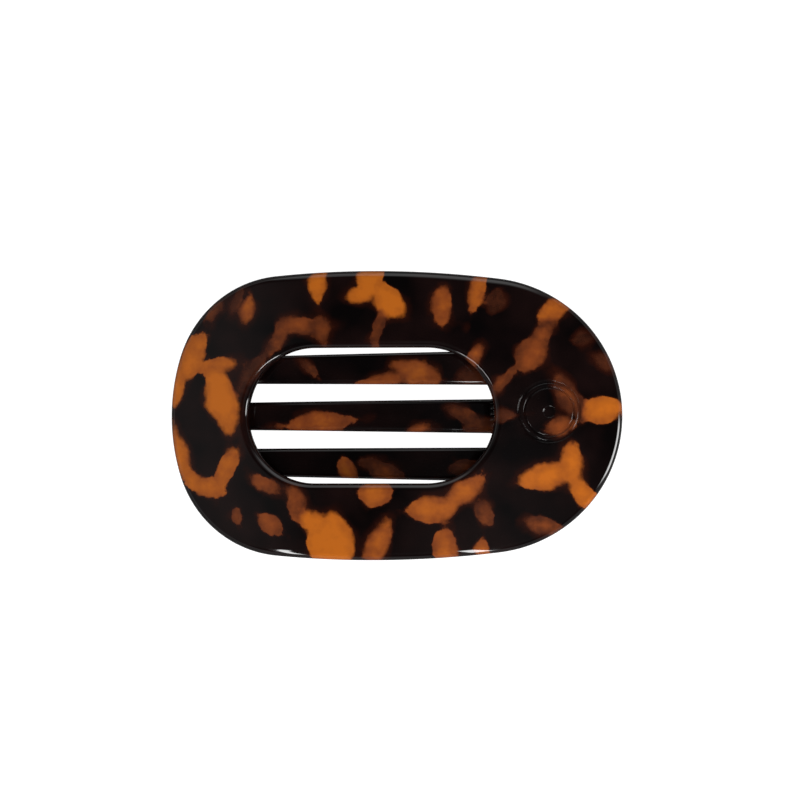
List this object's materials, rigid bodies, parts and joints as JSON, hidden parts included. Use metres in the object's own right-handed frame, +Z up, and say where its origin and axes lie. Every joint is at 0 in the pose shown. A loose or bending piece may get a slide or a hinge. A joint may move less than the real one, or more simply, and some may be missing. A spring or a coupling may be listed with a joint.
{
  "type": "hair clip",
  "caption": "Flat oval spring hair clip: an arched plate with a rounded window, hinged over a comb of long tines that closes up against its underside.",
  "frame": {"origin": "centre of the closed clip's bounding box at the surface it lies on", "axes": "+X from the tips of the jaws to the thumb end, along the length; +Y across the width; +Z up, away from the head"},
  "size_m": [0.085, 0.0542, 0.0176],
  "materials": {
    "tortoise_plate": "polished, tortoiseshell pattern",
    "tortoise_comb": "polished, tortoiseshell pattern",
    "pin_steel": "drawn",
    "spring_wire": "drawn wire"
  },
  "bodies": {
    "comb": {"tined_comb": "tortoise_comb"},
    "plate": {"window_plate": "tortoise_plate", "hinge_pin": "pin_steel", "torsion_spring": "spring_wire"}
  },
  "joints": [
    {"name": "jaw_hinge", "type": "hinge", "parent": "comb", "child": "plate", "pos_m": [0.0208, 0, 0.00943], "axis": [0, 1, 0], "range_deg": [0, 24], "stiffness_Nm_per_rad": 0.13, "springref_deg": -52.71, "deforming": ["torsion_spring"]}
  ]
}
